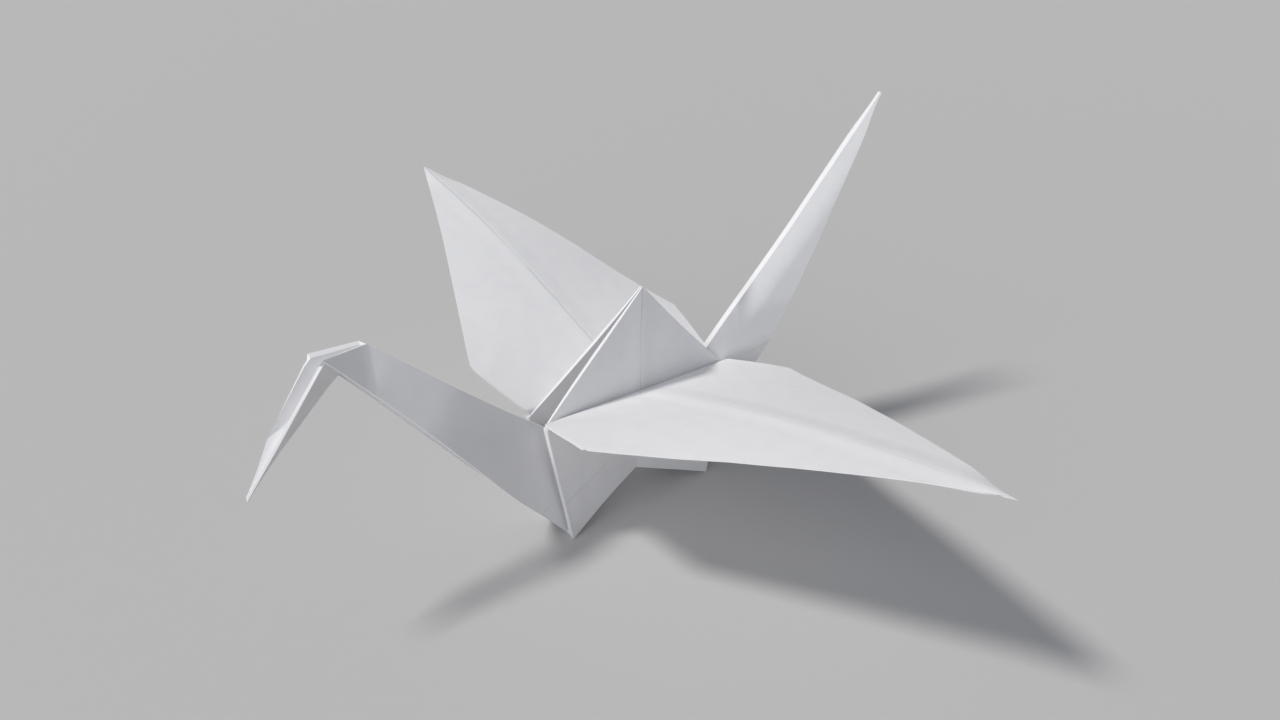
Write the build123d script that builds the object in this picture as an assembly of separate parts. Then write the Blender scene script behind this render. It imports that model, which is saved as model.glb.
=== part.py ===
from build123d import *
from math import atan2, cos, degrees, hypot, radians, sin, sqrt, tan
import os

# Paper crane folded from one square sheet. Millimetres, +Z up, +X toward the head,
# +Y toward the lowered wing. The origin is on the table, under the middle of the crane.

# Sheet
sheet_side = 210.0
paper_thickness = 0.1
layer_gap = 0.08
tip_trim = 4.0

# Body: how far each half of the back stands off the middle plane at its hinge,
# how much of that is pressed back in at the middle, and by how many layers
# the paper is pressed closer together at the top of the back
back_opening = 3.0
back_pinch = 2.4
top_pressed_layers = 4.5

# Neck and head, in degrees and millimetres
neck_lean = 53.3
neck_sway = -9.5
neck_opening = 9.0
neck_end_opening = 14.0
neck_roll = 11.0
neck_settle = 46.0
head_spine_length = 35.3
head_edge_length = 28.5
head_sway = 9.0
head_opening = 40.0

# Tail
tail_lean = 41.2
tail_sway = 0.9
tail_opening = 8.0
tail_end_opening = 26.0
tail_settle = 45.0

# Wings: how far the edges hang below the middle by roundness and by the middle crease,
# then the angle from straight up, the bend and twist from root to tip, and the slant
wing_root_height = 19.4
wing_turn_radius = 0.5
wing_camber = 2.2
wing_ridge = 1.0
near_wing = {"angle": 73.5, "curl": 15.4, "twist": 0.5, "sweep": -0.072}
far_wing = {"angle": 70.5, "curl": 11.0, "twist": -2.8, "sweep": 0.065}

# Points of the sheet closer than this count as one point
grid_step = 0.0017
layer_pitch = paper_thickness + layer_gap
turn_inset = 0.5 * layer_pitch
half_side = sheet_side / 2
diagonal = half_side * sqrt(2)
back_height = diagonal - half_side
narrow_angle = radians(11.25)
narrow_slope = tan(narrow_angle)
edge_slope = tan(radians(22.5))
ridge_run = narrow_slope * diagonal / (1 + narrow_slope)
ridge_low = back_height - ridge_run
head_start = half_side - head_spine_length
head_layers = 4
widest_height = half_side * (edge_slope - narrow_slope) / (edge_slope + narrow_slope)
widest_run = edge_slope * (half_side - widest_height)

# Crease points of one quarter of the sheet, measured from its middle:
# first along the neck and tail diagonal, then along the wing diagonal
crease_points = {
    "middle": (0, 0),
    "wing_corner": (0, diagonal),
    "neck_corner": (diagonal, 0),
    "hinge": (0, back_height),
    "base": (back_height, back_height),
    "ridge_end": (ridge_run, ridge_run),
    "hinge_end": (narrow_slope * half_side, back_height),
    "widest": (widest_run, widest_height + back_height),
}


def fold_back(u, v):
    return u, back_height - v


def fold_spine(u, v):
    return v, back_height - u


def fold_wing(u, v):
    return u, v - back_height


def fold_lining(u, v):
    return (diagonal - u - v) / sqrt(2), half_side - (u - v + diagonal) / sqrt(2)


def narrowed(x, z):
    """Reflect a folded point in the narrowing line, which runs up from the leg tip."""
    along = x * sin(narrow_angle) + (z + half_side) * cos(narrow_angle)
    return 2 * along * sin(narrow_angle) - x, 2 * along * cos(narrow_angle) - z - 2 * half_side


# Each facet of a quarter: corners, fold, folded again at the narrowing line, layer in the body
# counted outward from the middle plane, layer in the neck and tail, layer in the head
facets = {
    "back": ("middle ridge_end hinge_end hinge", fold_back, False, 6, None, None),
    "spine": ("middle ridge_end neck_corner", fold_spine, False, 5, 3.5, 0.5),
    "wing": ("hinge hinge_end widest wing_corner", fold_wing, False, 7, None, None),
    "lining": ("wing_corner widest neck_corner", fold_lining, False, 8, 2.5, 1.5),
    "wing_flap": ("hinge_end base widest", fold_wing, True, 10, None, None),
    "pleat": ("base widest neck_corner", fold_lining, True, 9, 1.5, 2.5),
    "back_flap": ("ridge_end base hinge_end", fold_back, True, 11, None, None),
    "side": ("ridge_end base neck_corner", fold_spine, True, 12, 0.5, 3.5),
}
leg_kinds = ("spine", "side", "pleat", "lining")
wing_kinds = ("wing", "wing_flap", "pleat", "lining")

# Where several folds share a line, each fold turns one layer pitch inside the next
narrowing_nest = {"spine": 0, "back": 1, "wing": 2, "lining": 3}
leg_fold_nest = {"side": 0, "pleat": 1, "lining": 2, "spine": 3}
head_fold_nest = {"spine": 0, "lining": 1, "pleat": 2, "side": 3}


def folded(kind, u, v):
    point = facets[kind][1](u, v)
    if facets[kind][2]:
        point = narrowed(*point)
    return point


class Cell:
    """A piece of one facet in one quarter: side +1 is near, end +1 is the neck."""

    def __init__(self, kind, side, end, points):
        self.kind = kind
        self.side = side
        self.end = end
        self.points = points
        self.region = "body"

    def flat(self):
        return [folded(self.kind, u, v) for u, v in self.points]

    def centre(self):
        flat = self.flat()
        return sum(p[0] for p in flat) / len(flat), sum(p[1] for p in flat) / len(flat)

    def keys(self):
        """Whole steps of the sheet's grid, which name a point of the sheet in any quarter."""
        steps = [(u / grid_step, v / grid_step) for u, v in self.points]
        return [(round(self.end * u), round(self.side * v)) for u, v in steps]

    def bearing(self, key):
        """The direction in the flat sheet from a point of it to the middle of this cell."""
        keys = self.keys()
        middle = [sum(k[j] for k in keys) / len(keys) for j in (0, 1)]
        return atan2(middle[1] - key[1], middle[0] - key[0])


def split(cell, level):
    """Split a cell where level(x, z), which is linear, changes sign."""
    values = [level(x, z) for x, z in cell.flat()]
    if min(values) > -1e-3 or max(values) < 1e-3:
        return [cell]
    above, below = [], []
    count = len(values)
    for i in range(count):
        here, there = values[i], values[(i + 1) % count]
        p, q = cell.points[i], cell.points[(i + 1) % count]
        if here > -1e-6:
            above.append(p)
        if here < 1e-6:
            below.append(p)
        if here * there < 0 and min(abs(here), abs(there)) > 1e-6:
            s = here / (here - there)
            cut_point = (p[0] + s * (q[0] - p[0]), p[1] + s * (q[1] - p[1]))
            above.append(cut_point)
            below.append(cut_point)
    return [Cell(cell.kind, cell.side, cell.end, part) for part in (above, below)]


def cut(cells, level, wanted):
    result = []
    for cell in cells:
        result += split(cell, level) if wanted(cell) else [cell]
    return result


def leg_level(end):
    """Positive above the line where the neck or tail is folded up inside the body."""
    lean = radians(neck_lean if end > 0 else tail_lean)
    return lambda x, z: z + x * tan(lean / 2)


def head_level(x, z):
    """Positive on the neck, negative on the head."""
    spine_z = head_spine_length - half_side
    edge_x = head_edge_length * sin(narrow_angle)
    edge_z = head_edge_length * cos(narrow_angle) - half_side
    return z - spine_z - x * (edge_z - spine_z) / edge_x


def make_cells():
    cells = []
    for side in (1, -1):
        for end in (1, -1):
            for kind in facets:
                names = facets[kind][0].split()
                cells.append(Cell(kind, side, end, [crease_points[name] for name in names]))
    tip_z = tip_trim - half_side
    cells = cut(cells, lambda x, z: z - tip_z, lambda cell: cell.kind in leg_kinds)
    cells = [cell for cell in cells if cell.centre()[1] > tip_z]
    for end in (1, -1):
        cells = cut(cells, leg_level(end), lambda cell: cell.end == end and cell.kind in leg_kinds)
    cells = cut(cells, head_level, lambda cell: cell.end > 0 and cell.kind in leg_kinds)
    for cell in cells:
        cell.region = region_of(cell)
    return subdivided(cells)


def region_of(cell):
    x, z = cell.centre()
    if cell.kind in leg_kinds and leg_level(cell.end)(x, z) < 0:
        return "head" if cell.end > 0 and head_level(x, z) < 0 else "leg"
    if cell.kind in wing_kinds and z > wing_root_height:
        return "wing"
    return "body"


def subdivided(cells):
    """Cut the cells at stations close enough for the bends of the paper."""
    turn = wing_reference_radius * radians(near_wing["angle"])
    heights = [ridge_low * step / 3 for step in (1, 2, 3)]
    heights += [wing_root_height + turn * step / 3 for step in range(4)]
    span = half_side - wing_root_height - turn
    heights += [wing_root_height + turn + span * step / 8 for step in range(1, 8)]
    for height in heights:
        cells = cut(cells, lambda x, z: z - height, lambda cell: True)
    for run in (0.22 * widest_run, 0.62 * widest_run):
        cells = cut(cells, lambda x, z: x - run, lambda cell: cell.region in ("body", "wing"))
    middle_run = 0.4 * widest_run
    cells = cut(cells, lambda x, z: x - middle_run, lambda cell: cell.region == "body")
    for step in range(1, 8):
        depth = -half_side * step / 8
        cells = cut(cells, lambda x, z: z - depth, lambda cell: cell.kind in leg_kinds)
    for cell in cells:
        cell.region = region_of(cell)
    return conforming(cells)


def conforming(cells):
    """Give each cell the corners that its neighbours have on its edges."""
    keys = {key for cell in cells for key in cell.keys()}
    for cell in cells:
        points = []
        for i, p in enumerate(cell.points):
            q = cell.points[(i + 1) % len(cell.points)]
            length = hypot(q[0] - p[0], q[1] - p[1])
            along = ((q[0] - p[0]) / length, (q[1] - p[1]) / length)
            points.append(p)
            extra = []
            for key in keys:
                u, v = key[0] * cell.end * grid_step, key[1] * cell.side * grid_step
                s = (u - p[0]) * along[0] + (v - p[1]) * along[1]
                off = (u - p[0]) * along[1] - (v - p[1]) * along[0]
                if 0.01 < s < length - 0.01 and abs(off) < 0.003:
                    extra.append((s, u, v))
            points += [(u, v) for s, u, v in sorted(extra)]
        cell.points = points
    return cells


# The wing bends about a line outside its innermost layer
wing_reference_radius = facets["wing_flap"][3] * layer_pitch + wing_turn_radius


def spread(kind, x, z):
    """How far the body's paper stands off the middle plane, layers apart."""
    drop = (back_height - z) / back_height
    edge_share = min(1, x / (narrow_slope * (half_side + z)))
    if kind == "spine":
        return back_opening * drop * edge_share
    rise = max(0, (ridge_low - z) / ridge_low)
    return back_opening * drop - back_pinch * rise * (1 - edge_share)


def place_body(cell, x, z):
    layer = facets[cell.kind][3]
    if cell.kind in ("back", "spine"):
        layer -= top_pressed_layers * max(0, z - ridge_low) / (back_height - ridge_low)
    away = spread(cell.kind, x, z) + layer * layer_pitch
    return Vector(cell.end * x, cell.side * away, z)


def place_wing(cell, x, z):
    wing = near_wing if cell.side > 0 else far_wing
    tilt = atan2(back_opening, back_height)
    up = Vector(0, -cell.side * sin(tilt), cos(tilt))
    out = Vector(0, cell.side * cos(tilt), sin(tilt))
    fore = Vector(1, 0, 0)
    run = z - wing_root_height
    angle = radians(wing["angle"])
    turn = min(run, wing_reference_radius * angle)
    bend = turn / wing_reference_radius
    rise = wing_reference_radius * sin(bend)
    reach = wing_reference_radius * (1 - cos(bend))
    span = half_side - wing_root_height
    curl = radians(wing["curl"]) / span
    rest = run - turn
    rise += (sin(bend + curl * rest) - sin(bend)) / curl
    reach += (cos(bend) - cos(bend + curl * rest)) / curl
    bend += curl * rest
    along = up * cos(bend) + out * sin(bend)
    normal = out * cos(bend) - up * sin(bend)
    twist = radians(wing["twist"]) * rest / span
    axis = Axis((0, 0, 0), tuple(along))
    across = fore.rotate(axis, degrees(twist))
    normal = normal.rotate(axis, degrees(twist))
    width_share = x / widest_run
    droop = (wing_camber * width_share ** 2 + wing_ridge * width_share) * min(1, rest / widest_run)
    root = Vector(0, cell.side * spread("wing", 0, wing_root_height), wing_root_height)
    centre = root + up * rise + out * reach + fore * (wing["sweep"] * rest)
    depth = facets[cell.kind][3] * layer_pitch + droop
    return centre + across * (cell.end * x) + normal * depth


def leg_frame(end):
    """Directions along a leg's spine, square to it toward its open edge, and sideways."""
    lean = radians(neck_lean if end > 0 else tail_lean)
    along = Vector(end * sin(lean), 0, cos(lean))
    down = Vector(end * cos(lean), 0, -sin(lean))
    return along, down, Vector(0, 1, 0)


def leaf(start, away, lateral, turned, side, width, depth):
    """A point on one half of an opened fold, away from its spine by width, out by depth."""
    direction = away * cos(turned) + lateral * sin(turned)
    normal = lateral * cos(turned) - away * sin(turned)
    return start + direction * width + normal * (side * depth)


def place_leg(cell, x, z):
    along, down, lateral = leg_frame(cell.end)
    reach = -z
    base, final, settle, sway = tail_opening, tail_end_opening, tail_settle, tail_sway
    roll = 0
    if cell.end > 0:
        base, final, settle, sway = neck_opening, neck_end_opening, neck_settle, neck_sway
        roll = neck_roll
    grown = min(1, max(0, (reach - ridge_run) / (settle - ridge_run)))
    turned = radians(roll * grown + cell.side * (base + (final - base) * grown))
    layer = facets[cell.kind][4]
    if cell.end > 0:
        layer += head_layers * min(1, max(0, (reach - ridge_run) / (head_start - ridge_run)))
    start = along * reach + lateral * (sway * min(1, reach / head_start) ** 3)
    return leaf(start, down, lateral, turned, cell.side, x, layer * layer_pitch)


def place_head(cell, x, z):
    along, down, lateral = leg_frame(1)
    step_along = head_spine_length - head_edge_length * cos(narrow_angle)
    step_down = head_edge_length * sin(narrow_angle)
    fold = 2 * atan2(step_down, step_along)
    ahead = along * cos(fold) + down * sin(fold)
    forward = along * sin(fold) - down * cos(fold)
    reach = -z - head_start
    sway = neck_sway + head_sway * (max(0, reach) / head_spine_length) ** 2
    grown = min(1, max(0, -head_level(x, z) / (0.5 * head_spine_length)))
    start = along * head_start + lateral * sway
    opening = neck_end_opening + (head_opening - neck_end_opening) * grown
    turned = radians(neck_roll * (1 - grown) + cell.side * opening)
    depth = facets[cell.kind][5] * layer_pitch
    return leaf(start + ahead * reach, forward, lateral, turned, cell.side, x, depth)


placers = {"body": place_body, "wing": place_wing, "leg": place_leg, "head": place_head}


def edge_inset(cell, other, key_a, key_b):
    """How far inside its crease line a cell ends."""
    middle_inset = turn_inset + layer_pitch if cell.region == "leg" else turn_inset
    if other is None:
        reaches = [(abs(key[0]) + abs(key[1])) * grid_step for key in (key_a, key_b)]
        on_side = all(abs(reach - diagonal) < 0.01 for reach in reaches)
        return middle_inset if on_side else 0
    if cell.kind == other.kind:
        if cell.side != other.side:
            return turn_inset
        if "head" in (cell.region, other.region) and cell.region != other.region:
            return turn_inset + layer_pitch * head_fold_nest[cell.kind]
        if "leg" in (cell.region, other.region) and cell.region != other.region:
            return turn_inset + layer_pitch * leg_fold_nest[cell.kind]
        return 0
    first, second = sorted((cell.kind, other.kind), key=lambda kind: facets[kind][2])
    if {first, second} == {"back", "wing"}:
        return turn_inset + layer_pitch * len(leg_fold_nest)
    pairs = {"spine": "side", "back": "back_flap", "wing": "wing_flap", "lining": "pleat"}
    if pairs.get(first) == second:
        nest = narrowing_nest[first]
        if cell.region in ("leg", "head"):
            nest = min(nest, 2)
        return turn_inset + layer_pitch * nest
    return middle_inset if {first, second} == {"pleat", "side"} else turn_inset


def corner_point(flat, i, before, after, turn_sign):
    """Where the two inset edges that meet at corner i of a cell cross, in the folded plane."""
    p, q, r = flat[i - 1], flat[i], flat[(i + 1) % len(flat)]
    a = unit(q[0] - p[0], q[1] - p[1])
    b = unit(r[0] - q[0], r[1] - q[1])
    normal_a = (-a[1] * turn_sign, a[0] * turn_sign)
    normal_b = (-b[1] * turn_sign, b[0] * turn_sign)
    cross = a[0] * b[1] - a[1] * b[0]
    if abs(cross) < 1e-3:
        return q[0] + normal_a[0] * max(before, after), q[1] + normal_a[1] * max(before, after)
    start = (normal_a[0] * before, normal_a[1] * before)
    gap = (normal_b[0] * after - start[0], normal_b[1] * after - start[1])
    s = (gap[0] * b[1] - gap[1] * b[0]) / cross
    return q[0] + start[0] + a[0] * s, q[1] + start[1] + a[1] * s


def unit(x, y):
    length = hypot(x, y)
    return x / length, y / length


def area_sign(flat):
    area = sum(flat[i - 1][0] * flat[i][1] - flat[i][0] * flat[i - 1][1] for i in range(len(flat)))
    return 1 if area > 0 else -1


class Sheet:
    """The middle surface of the folded paper as triangles."""

    def __init__(self):
        self.points = []
        self.at_key = {}
        self.triangles = []

    def point(self, key, position):
        for index in self.at_key.setdefault(key, []):
            if (self.points[index] - position).length < 2e-3:
                return index
        self.points.append(position)
        self.at_key[key].append(len(self.points) - 1)
        return len(self.points) - 1

    def polygon(self, ring, weight):
        """Clip the best shaped corner off a ring of points until nothing is left."""
        ring = [p for i, p in enumerate(ring) if p != ring[i - 1]]
        while len(ring) >= 3:
            best = max(range(len(ring)), key=lambda i: self.corner_quality(ring, i))
            triangle = (ring[best - 1], ring[best], ring[(best + 1) % len(ring)])
            if len(set(triangle)) == 3:
                self.triangles.append((triangle, weight))
            ring.pop(best)

    def corner_quality(self, ring, i):
        """Short cuts are best, and a corner in line with its neighbours is left."""
        a, b, c = (self.points[ring[j % len(ring)]] for j in (i - 1, i, i + 1))
        reach = (c - a).length
        height = (b - a).cross(c - b).length / max(reach, 1e-6)
        return -reach if height > 0.02 * reach and height > 1e-4 else -1000 + height


def middle_surface(cells):
    sheet = Sheet()
    neighbours = {}
    for cell in cells:
        keys = cell.keys()
        for i in range(len(keys)):
            edge = frozenset((keys[i], keys[(i + 1) % len(keys)]))
            neighbours.setdefault(edge, []).append(cell)
    corners = {}
    around = {}
    for cell in cells:
        keys, flat = cell.keys(), cell.flat()
        count = len(keys)
        insets = []
        for i in range(count):
            pair = neighbours[frozenset((keys[i], keys[(i + 1) % count]))]
            other = next((c for c in pair if c is not cell), None)
            insets.append(edge_inset(cell, other, keys[i], keys[(i + 1) % count]))
        sign = area_sign(flat)
        for i in range(count):
            x, z = corner_point(flat, i, insets[i - 1], insets[i], sign)
            position = placers[cell.region](cell, x, z)
            corners[id(cell), keys[i]] = sheet.point(keys[i], position)
            around.setdefault(keys[i], []).append(cell)
        ring = [corners[id(cell), key] for key in keys]
        if area_sign(keys) < 0:
            ring.reverse()
        sheet.polygon(ring, 1)
    add_turns(sheet, neighbours, corners)
    add_corner_fills(sheet, neighbours, around, corners)
    return sheet


def add_turns(sheet, neighbours, corners):
    """The narrow band of paper that goes round each folded crease."""
    for edge, pair in neighbours.items():
        if len(pair) == 2:
            first, second = pair
            keys = first.keys() if area_sign(first.keys()) > 0 else first.keys()[::-1]
            start, stop = edge
            if keys[(keys.index(start) + 1) % len(keys)] != stop:
                start, stop = stop, start
            ring = [corners[id(first), stop], corners[id(first), start]]
            ring += [corners[id(second), start], corners[id(second), stop]]
            sheet.polygon(ring, 1)


def add_corner_fills(sheet, neighbours, around, corners):
    """The bit of paper where three or more creases meet."""
    border = {key for edge, pair in neighbours.items() if len(pair) == 1 for key in edge}
    for key, cells in around.items():
        if key not in border:
            ordered = sorted(cells, key=lambda cell: cell.bearing(key))
            ring = [corners[id(cell), key] for cell in ordered]
            if len(set(ring)) > 2:
                sheet.polygon(ring, 0.05)


def solve(rows, right):
    """Solve three linear equations given as Vectors."""
    a, b, c = rows
    scale = a.dot(b.cross(c))
    return (b.cross(c) * right[0] + c.cross(a) * right[1] + a.cross(b) * right[2]) / scale


def thickened(sheet):
    """Close the middle surface into a solid by half the paper's thickness on each side."""
    normals = {}
    edges = {}
    for triangle, weight in sheet.triangles:
        a, b, c = (sheet.points[i] for i in triangle)
        normal = (b - a).cross(c - a)
        if normal.length > 1e-9:
            for i in triangle:
                normals.setdefault(i, []).append((normal.normalized(), weight))
        for i in range(3):
            edges[triangle[i], triangle[(i + 1) % 3]] = True
    offsets = {}
    for index, entries in normals.items():
        rows = [Vector(0.02, 0, 0), Vector(0, 0.02, 0), Vector(0, 0, 0.02)]
        right = Vector(0, 0, 0)
        for normal, weight in entries:
            rows = [row + normal * (part * weight) for row, part in zip(rows, tuple(normal))]
            right += normal * (weight * 0.5 * paper_thickness)
        offsets[index] = solve(rows, tuple(right))
    faces = []
    for triangle, weight in sheet.triangles:
        top = [sheet.points[i] + offsets[i] for i in triangle]
        bottom = [sheet.points[i] - offsets[i] for i in reversed(triangle)]
        faces += [flat_face(top), flat_face(bottom)]
    for i, j in edges:
        if (j, i) not in edges:
            p, q = sheet.points[i] + offsets[i], sheet.points[j] + offsets[j]
            r, s = sheet.points[j] - offsets[j], sheet.points[i] - offsets[i]
            faces += [flat_face([q, p, s]), flat_face([q, s, r])]
    return Solid(Shell(faces))


def flat_face(points):
    return Face(Wire.make_polygon(points, close=True))


def standing(solid):
    """Tip the crane until it stands on its lowest corners, and set it on the table."""
    neck_foot = foot(neck_lean)
    tail_foot = foot(tail_lean)
    pitch = atan2(neck_foot[1] - tail_foot[1], neck_foot[0] + tail_foot[0])
    level = solid.rotate(Axis.Y, degrees(pitch))
    box = level.bounding_box()
    return level.moved(Location((-box.center().X, -box.center().Y, -box.min.Z)))


def foot(lean):
    slope = tan(radians(lean) / 2)
    run = narrow_slope * half_side / (1 + narrow_slope * slope)
    return run, -run * slope


def main():
    os.makedirs("parts", exist_ok=True)
    sheet = middle_surface(make_cells())
    crane = standing(thickened(sheet))
    crane.label = "folded_sheet"
    export_step(crane, "parts/folded_sheet.step")


main()
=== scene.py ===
from math import radians

import bmesh
import bpy
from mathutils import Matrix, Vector


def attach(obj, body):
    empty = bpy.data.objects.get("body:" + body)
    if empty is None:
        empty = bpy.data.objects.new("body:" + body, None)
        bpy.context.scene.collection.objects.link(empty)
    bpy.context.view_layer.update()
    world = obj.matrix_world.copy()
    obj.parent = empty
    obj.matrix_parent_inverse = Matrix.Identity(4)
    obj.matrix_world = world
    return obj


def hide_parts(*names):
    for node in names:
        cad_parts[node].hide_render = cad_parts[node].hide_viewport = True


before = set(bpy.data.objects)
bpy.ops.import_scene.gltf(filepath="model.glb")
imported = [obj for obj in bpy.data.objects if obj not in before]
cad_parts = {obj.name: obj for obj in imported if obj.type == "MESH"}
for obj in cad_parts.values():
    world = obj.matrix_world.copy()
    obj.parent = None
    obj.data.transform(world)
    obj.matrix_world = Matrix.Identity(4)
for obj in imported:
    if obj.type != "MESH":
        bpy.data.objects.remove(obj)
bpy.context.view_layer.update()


# The folded sheet: one square of white office paper, creased by hand into a crane.
# The mesh is the folded solid itself, cut finer and gently waved in broad waves, so that
# layers that touch move nearly together; folds stay sharp and broad bends are smooth.
class Strand:
    """A socket of a node tree that can be written into sums like a number."""

    def __init__(self, tree, socket=None):
        self.tree = tree
        self.socket = socket

    def made(self, kind, settings, sockets, output=0):
        """Add a node: its settings first, then the values or links of its sockets."""
        node = self.tree.nodes.new(kind)
        for name, value in settings.items():
            setattr(node, name, value)
        for name, value in sockets.items():
            if isinstance(value, Strand):
                self.tree.links.new(value.socket, node.inputs[name])
            else:
                node.inputs[name].default_value = value
        return Strand(self.tree, node.outputs[output] if len(node.outputs) else None)

    def sum_with(self, operation, other, first=False):
        """This value and another through one sum; first puts the other one first."""
        pair = (other, self) if first else (self, other)
        return self.made("ShaderNodeMath", {"operation": operation}, {0: pair[0], 1: pair[1]})

    def __add__(self, other):
        return self.sum_with("ADD", other)

    def __radd__(self, other):
        return self.sum_with("ADD", other, first=True)

    def __sub__(self, other):
        return self.sum_with("SUBTRACT", other)

    def __rsub__(self, other):
        return self.sum_with("SUBTRACT", other, first=True)

    def __mul__(self, other):
        return self.sum_with("MULTIPLY", other)

    def __rmul__(self, other):
        return self.sum_with("MULTIPLY", other, first=True)

    def __abs__(self):
        return self.made("ShaderNodeMath", {"operation": "ABSOLUTE"}, {0: self})

    def between(self, low, high):
        """0 below low, 1 above high, and smooth from one to the other."""
        settings = {"interpolation_type": "SMOOTHSTEP"}
        return self.made("ShaderNodeMapRange", settings, {"Value": self, 1: low, 2: high})


# Office paper, 80 grams a square metre: fibres a few tenths of a millimetre long, pressed
# smooth, with cloudy denser and thinner places, and a soft line of painted shade along each opened
# crease
paper_colour = (0.87, 0.868, 0.872, 1)
thin_place_colour = (0.835, 0.836, 0.852, 1)
# painted shade: the colour that the groove of each opened crease is darkened towards
painted_crease_shade_colour = (0.60, 0.60, 0.64, 1)
fibres_per_metre = 2600
clouds_per_metre = 240
waves_per_metre = 62
wave_height = 0.10
cloud_height = 0.014
tooth_height = 0.007
crease_half_width = 0.00022
crease_depth = 0.02
crease_wander = 0.0009
crease_reach = 0.0045
crease_fade_across = 0.0006
crease_fade_up = 0.001
crease_full_share = 0.3
crease_broken_by_waves = (0.25, 0.62)
cloud_range = (0.42, 0.68)
cloud_share = 0.55
tooth_range = (0.5, 0.62)
tooth_share = 0.25
least_roughness = 0.62
roughness_range = 0.12
millimetres = 1000.0

paper = bpy.data.materials.new("white_office_paper")
paper.use_nodes = True
paper.node_tree.nodes.clear()
pen = Strand(paper.node_tree)
place = pen.made("ShaderNodeTexCoord", {}, {}, "Object")
across_body = pen.made("ShaderNodeSeparateXYZ", {}, {"Vector": place}, "Y")
above_table = pen.made("ShaderNodeSeparateXYZ", {}, {"Vector": place}, "Z")


def noise(scale, detail, roughness, seed, stretch=(1, 1, 1)):
    """Cloudy values about a half, in the frame of the object."""
    stretched = pen.made("ShaderNodeVectorMath", {"operation": "MULTIPLY"}, {0: place, 1: stretch})
    sockets = {
        "Vector": stretched, "W": seed, "Scale": scale, "Detail": detail, "Roughness": roughness}
    return pen.made("ShaderNodeTexNoise", {"noise_dimensions": "4D"}, sockets)


clouds = noise(clouds_per_metre, detail=4, roughness=0.6, seed=1.7)
fibres_one_way = noise(
    fibres_per_metre, detail=3, roughness=0.65, seed=4.1, stretch=(1, 0.25, 0.6))
fibres_other_way = noise(
    fibres_per_metre, detail=3, roughness=0.65, seed=6.3, stretch=(0.3, 1, 0.7))
tooth = (fibres_one_way + fibres_other_way) * 0.5
waves = noise(waves_per_metre, detail=2, roughness=0.4, seed=9.2)

# Creases that were opened flat again: the middle of the back and of each wing, and one
# across the lowered side's panel. Each is a plane that cuts the paper, the span along Y
# in which it shows, the height above which it shows, how far its two sides still tilt
# and how dark the painted shade along its line is.
opened_creases = (
    {"across": (0.9983, 0, 0.0578), "at": -0.00366, "from": -0.0042, "to": 0.0030,
     "above": 0.026, "tilt": 0.11, "shade": 0.60},
    {"across": (0.9962, 0.0875, 0), "at": -0.00515, "from": 0.0032, "to": 0.090,
     "above": 0.026, "tilt": 0.10, "shade": 0.20},
    {"across": (0.9988, 0.0486, 0), "at": -0.00556, "from": -0.090, "to": -0.0048,
     "above": 0.026, "tilt": 0.045, "shade": 0.70},
    {"across": (0.3172, 0, 0.9484), "at": 0.01440, "from": 0.0015, "to": 0.0065,
     "above": -0.001, "tilt": 0.05, "shade": 0.35},
)
painted_crease_shade = 0.0
crease_relief = 0.0
for crease in opened_creases:
    along = pen.made(
        "ShaderNodeVectorMath", {"operation": "DOT_PRODUCT"},
        {0: place, 1: crease["across"]}, "Value")
    distance = abs(along - crease["at"] + (clouds - 0.5) * crease_wander)
    inside = across_body.between(crease["from"], crease["from"] + crease_fade_across)
    inside = inside * (1 - across_body.between(crease["to"], crease["to"] + crease_fade_across))
    inside = inside * above_table.between(crease["above"], crease["above"] + crease_fade_up)
    line = (1 - distance.between(crease_full_share * crease_half_width, crease_half_width)) * inside
    near = 1 - distance.between(0.0, crease_reach)
    # painted shade in the groove of the crease, broken in places by the waves
    painted_crease_shade = painted_crease_shade + line * crease["shade"] * waves.between(*crease_broken_by_waves)
    side_height = near * inside * (crease["tilt"] * crease_reach * millimetres / 2)
    crease_relief = crease_relief + side_height - line * crease_depth

# The tail was pinched less than the other folds, so its paper bends softly from the spine:
# the plane through the spine, how far the bend reaches and how much it falls in all
tail_spine = {"away": (-0.7130, 0, -0.7011), "at": -0.00316, "reach": 0.0055, "fall": 2.1}
tail_start = -0.034
tail_fade_along = 0.006
tail_half_width = 0.010
tail_fade_across = 0.001
from_spine = pen.made(
    "ShaderNodeVectorMath", {"operation": "DOT_PRODUCT"},
    {0: place, 1: tail_spine["away"]}, "Value") - tail_spine["at"]
bent = (1 - from_spine * (1 / tail_spine["reach"])).sum_with("MAXIMUM", 0.0)
along_body = pen.made("ShaderNodeSeparateXYZ", {}, {"Vector": place}, "X")
on_tail = 1 - along_body.between(tail_start - tail_fade_along, tail_start)
on_tail = on_tail * (1 - abs(across_body).between(
    tail_half_width, tail_half_width + tail_fade_across))
tail_relief = bent * bent * on_tail * -tail_spine["fall"]

thin_places = clouds.between(*cloud_range) * cloud_share + tooth.between(*tooth_range) * tooth_share
tint = pen.made(
    "ShaderNodeMix", {"data_type": "RGBA"},
    {"Factor": thin_places, 6: paper_colour, 7: thin_place_colour}, 2)
# darkens the paper along each crease line with painted shade
tint_with_painted_crease_shade = pen.made(
    "ShaderNodeMix", {"data_type": "RGBA"},
    {"Factor": painted_crease_shade, 6: tint, 7: painted_crease_shade_colour}, 2)
relief = waves * wave_height + clouds * cloud_height + tooth * tooth_height + crease_relief + tail_relief
bump = pen.made(
    "ShaderNodeBump", {},
    {"Strength": 1.0, "Distance": 1 / millimetres, "Height": relief})
rough = clouds * roughness_range + least_roughness
sheet_shader = pen.made(
    "ShaderNodeBsdfPrincipled", {},
    {"Base Color": tint_with_painted_crease_shade, "Roughness": rough, "Normal": bump,
     "IOR": 1.45, "Specular IOR Level": 0.3, "Sheen Weight": 0.08})
pen.made("ShaderNodeOutputMaterial", {}, {"Surface": sheet_shader})

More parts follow.
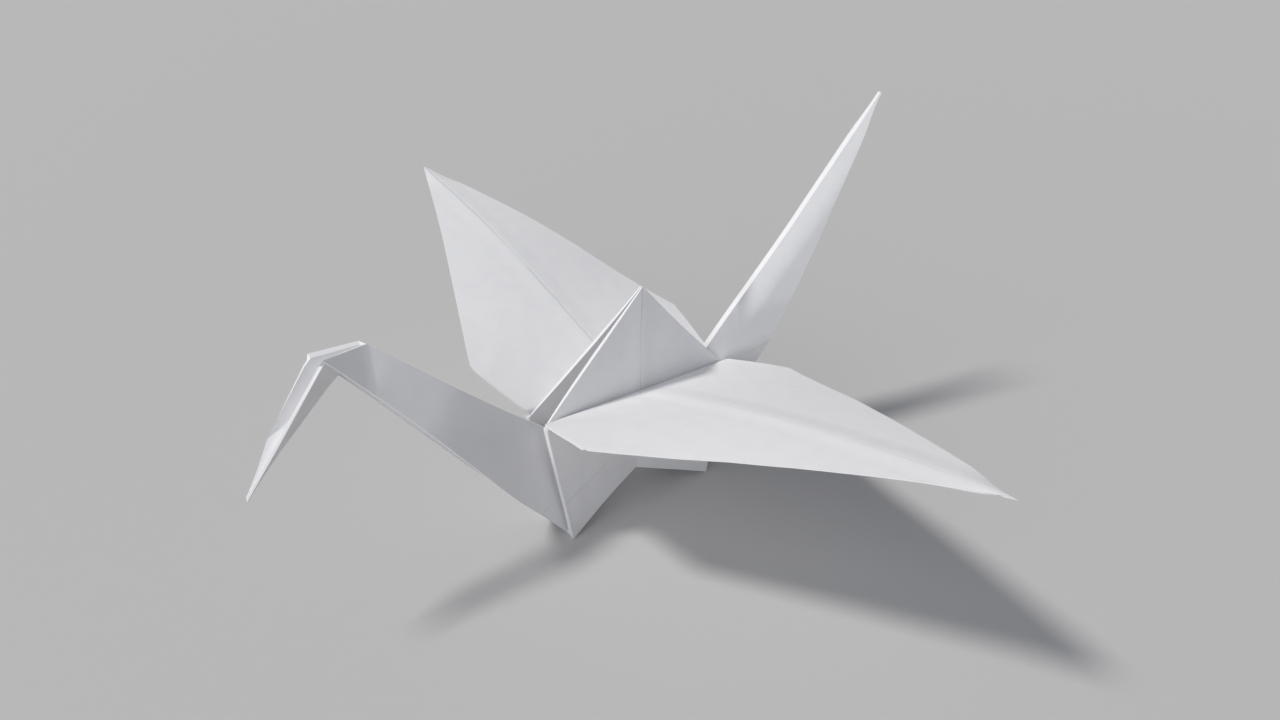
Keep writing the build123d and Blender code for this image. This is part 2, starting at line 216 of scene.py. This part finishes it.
merge_distance = 0.000001
sheet_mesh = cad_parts["folded_sheet"].data.copy()
joined = bmesh.new()
joined.from_mesh(sheet_mesh)
bmesh.ops.remove_doubles(joined, verts=joined.verts, dist=merge_distance)
joined.to_mesh(sheet_mesh)
joined.free()
sheet = bpy.data.objects.new("paper_sheet", sheet_mesh)
bpy.context.scene.collection.objects.link(sheet)

# The tips of the wings were rolled down between the fingers: each tip, and the plane
# through the wing's middle crease that the roll goes round
wing_tips = (
    {"point": (-0.0123, 0.0817, 0.0469), "across": (0.9962, 0.0875, 0), "at": -0.00507},
    {"point": (-0.0016, -0.0818, 0.0545), "across": (0.9988, 0.0486, 0), "at": -0.00556},
)
# The points that were pinched narrow between the fingers, on the head, the tail and the
# lowered wing: each end, the direction from it back along the paper, how far the pinch
# reaches and how much of the width it takes at the end
pinched_points = (
    {"end": (0.0752, -0.0033, 0.0357), "back": (-0.7287, -0.3221, 0.6044),
     "length": 0.012, "taken": 0.5},
    {"end": (-0.0751, 0.0000, 0.0803), "back": (0.6316, 0.0000, -0.7753),
     "length": 0.012, "taken": 0.5},
    {"end": (-0.0123, 0.0824, 0.0468), "back": (0.0688, -0.9895, -0.1273),
     "length": 0.008, "taken": 0.6},
)
# The wave noise runs half each way about its middle, and this makes that one whole
full_swing = 2.0
finish = bpy.data.node_groups.new("hand_folded_finish", "GeometryNodeTree")
finish_sizes = {
    "Cuts": ("NodeSocketInt", 2),
    "Wave Size": ("NodeSocketFloat", 0.0009),
    "Waves Per Metre": ("NodeSocketFloat", 26.0),
    "Still Below": ("NodeSocketFloat", 0.012),
    "Sharp Fold": ("NodeSocketFloat", radians(33)),
    "Tip Length": ("NodeSocketFloat", 0.010),
    "Tip Roll": ("NodeSocketFloat", 95.0),
    "Seed": ("NodeSocketFloat", 3.0),
    "Material": ("NodeSocketMaterial", paper),
}
finish.interface.new_socket("Mesh", in_out="INPUT", socket_type="NodeSocketGeometry")
finish.interface.new_socket("Mesh", in_out="OUTPUT", socket_type="NodeSocketGeometry")
for name, (kind, value) in finish_sizes.items():
    finish.interface.new_socket(name, in_out="INPUT", socket_type=kind)
fold = Strand(finish)
entry = finish.nodes.new("NodeGroupInput")
given = {socket.name: Strand(finish, socket) for socket in entry.outputs}
finer = fold.made("GeometryNodeSubdivideMesh", {}, {"Mesh": given["Mesh"], "Level": given["Cuts"]})
spot = fold.made("GeometryNodeInputPosition", {}, {})
height = fold.made("ShaderNodeSeparateXYZ", {}, {"Vector": spot}, "Z")
lifted = fold.made(
    "ShaderNodeMapRange", {},
    {"Value": height, "From Min": 0.0, "From Max": given["Still Below"]})
field = fold.made(
    "ShaderNodeTexNoise", {"noise_dimensions": "4D"},
    {"Vector": spot, "W": given["Seed"], "Scale": given["Waves Per Metre"], "Detail": 0.0}, "Color")
centred = fold.made("ShaderNodeVectorMath", {"operation": "SUBTRACT"}, {0: field, 1: (0.5, 0.5, 0.5)})
moved = fold.made(
    "ShaderNodeVectorMath", {"operation": "SCALE"},
    {0: centred, "Scale": lifted * given["Wave Size"] * full_swing})
down = 0.0
for tip in wing_tips:
    reach = fold.made(
        "ShaderNodeVectorMath", {"operation": "DISTANCE"}, {0: spot, 1: tip["point"]}, "Value")
    sideways = fold.made(
        "ShaderNodeVectorMath", {"operation": "DOT_PRODUCT"}, {0: spot, 1: tip["across"]}, "Value")
    sideways = sideways - tip["at"]
    rolled = 1 - reach.between(0.0, given["Tip Length"])
    down = down - sideways * sideways * rolled * given["Tip Roll"]
roll = fold.made("ShaderNodeCombineXYZ", {}, {"Z": down})
shift = fold.made("ShaderNodeVectorMath", {"operation": "ADD"}, {0: moved, 1: roll})
for point in pinched_points:
    from_end = fold.made("ShaderNodeVectorMath", {"operation": "SUBTRACT"}, {0: spot, 1: point["end"]})
    along = fold.made(
        "ShaderNodeVectorMath", {"operation": "DOT_PRODUCT"}, {0: from_end, 1: point["back"]}, "Value")
    on_axis = fold.made(
        "ShaderNodeVectorMath", {"operation": "SCALE"}, {0: point["back"], "Scale": along})
    to_axis = fold.made("ShaderNodeVectorMath", {"operation": "SUBTRACT"}, {0: on_axis, 1: from_end})
    from_point = fold.made("ShaderNodeVectorMath", {"operation": "LENGTH"}, {0: from_end}, "Value")
    share = (1 - from_point.between(0.0, point["length"])) * point["taken"]
    drawn_in = fold.made("ShaderNodeVectorMath", {"operation": "SCALE"}, {0: to_axis, "Scale": share})
    shift = fold.made("ShaderNodeVectorMath", {"operation": "ADD"}, {0: shift, 1: drawn_in})
waved = fold.made("GeometryNodeSetPosition", {}, {"Geometry": finer, "Offset": shift})
rounded = fold.made(
    "GeometryNodeSetShadeSmooth", {"domain": "FACE"}, {"Geometry": waved, "Shade Smooth": True})
bend = fold.made("GeometryNodeInputMeshEdgeAngle", {}, {})
creased = fold.made(
    "FunctionNodeCompare", {"operation": "GREATER_THAN"}, {0: bend, 1: given["Sharp Fold"]})
crisp = fold.made(
    "GeometryNodeSetShadeSmooth", {"domain": "EDGE"},
    {"Geometry": rounded, "Selection": creased, "Shade Smooth": False})
real = fold.made("GeometryNodeRealizeInstances", {}, {"Geometry": crisp})
covered = fold.made("GeometryNodeSetMaterial", {}, {"Geometry": real, "Material": given["Material"]})
fold.made("NodeGroupOutput", {}, {"Mesh": covered})

hand = sheet.modifiers.new("hand_folded_finish", "NODES")
hand.node_group = finish
for item in finish.interface.items_tree:
    if item.in_out == "INPUT" and item.name in finish_sizes:
        hand[item.identifier] = finish_sizes[item.name][1]
view_layer_state = bpy.context.evaluated_depsgraph_get()
finished_mesh = bpy.data.meshes.new_from_object(
    sheet.evaluated_get(view_layer_state), depsgraph=view_layer_state)
sheet.modifiers.remove(hand)
sheet.data = finished_mesh
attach(sheet, "root")
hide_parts("folded_sheet")


# The plain pale floor that the crane stands on, under a small window lamp and a broad
# fill lamp, with an even sky, as in a room by daylight, and the camera.
floor_size = 30.0
floor_colour = (0.57, 0.565, 0.56, 1)
floor_roughness = 0.7
room_light_colour = (0.86, 0.89, 1.0, 1)
room_light_strength = 0.24
room_wall_colour = (0.52, 0.52, 0.52, 1)
room_wall_strength = 1.0
floor_mesh = bpy.data.meshes.new("floor")
half = floor_size / 2
floor_corners = [(-half, -half, 0), (half, -half, 0), (half, half, 0), (-half, half, 0)]
floor_mesh.from_pydata(floor_corners, [], [(0, 1, 2, 3)])
floor = bpy.data.objects.new("floor", floor_mesh)
bpy.context.scene.collection.objects.link(floor)
floor_paint = bpy.data.materials.new("pale_floor")
floor_paint.use_nodes = True
floor_shader = floor_paint.node_tree.nodes["Principled BSDF"]
floor_shader.inputs["Base Color"].default_value = floor_colour
floor_shader.inputs["Roughness"].default_value = floor_roughness
floor_mesh.materials.append(floor_paint)

lamps = {
    "window_light": {
        "energy": 1.8, "angle": 9, "colour": (1.0, 0.985, 0.96), "travel": (-0.62, 0.32, -1.0)},
    "fill_light": {
        "energy": 0.92, "angle": 60, "colour": (0.95, 0.97, 1.0), "travel": (-0.84, -0.32, -0.48)},
}
for name, lamp in lamps.items():
    lamp_data = bpy.data.lights.new(name, "SUN")
    lamp_data.energy = lamp["energy"]
    lamp_data.angle = radians(lamp["angle"])
    lamp_data.color = lamp["colour"]
    lamp_object = bpy.data.objects.new(name, lamp_data)
    lamp_object.rotation_euler = Vector(lamp["travel"]).to_track_quat("-Z", "Y").to_euler()
    bpy.context.scene.collection.objects.link(lamp_object)

sky = bpy.data.worlds.new("soft_room")
sky.use_nodes = True
sky.node_tree.nodes.clear()
air = Strand(sky.node_tree)
rays = {name: air.made("ShaderNodeLightPath", {}, {}, name) for name in (
    "Is Camera Ray", "Is Glossy Ray", "Is Transmission Ray")}
seen = rays["Is Camera Ray"] + rays["Is Glossy Ray"] + rays["Is Transmission Ray"]
room_light = air.made(
    "ShaderNodeBackground", {}, {"Color": room_light_colour, "Strength": room_light_strength})
room_wall = air.made(
    "ShaderNodeBackground", {}, {"Color": room_wall_colour, "Strength": room_wall_strength})
either = air.made("ShaderNodeMixShader", {}, {0: seen, 1: room_light, 2: room_wall})
air.made("ShaderNodeOutputWorld", {}, {"Surface": either})
bpy.context.scene.world = sky

camera_data = bpy.data.cameras.new("photo_view")
camera_data.sensor_width = 36.0
camera_data.lens = 26.72
camera_data.clip_start = 0.005
camera = bpy.data.objects.new("photo_view", camera_data)
camera.location = (0.10318, 0.13266, 0.13776)
camera.rotation_euler = (radians(59.02), radians(-0.99), radians(141.09))
bpy.context.scene.collection.objects.link(camera)
bpy.context.scene.camera = camera
bpy.context.scene.view_settings.view_transform = "Standard"
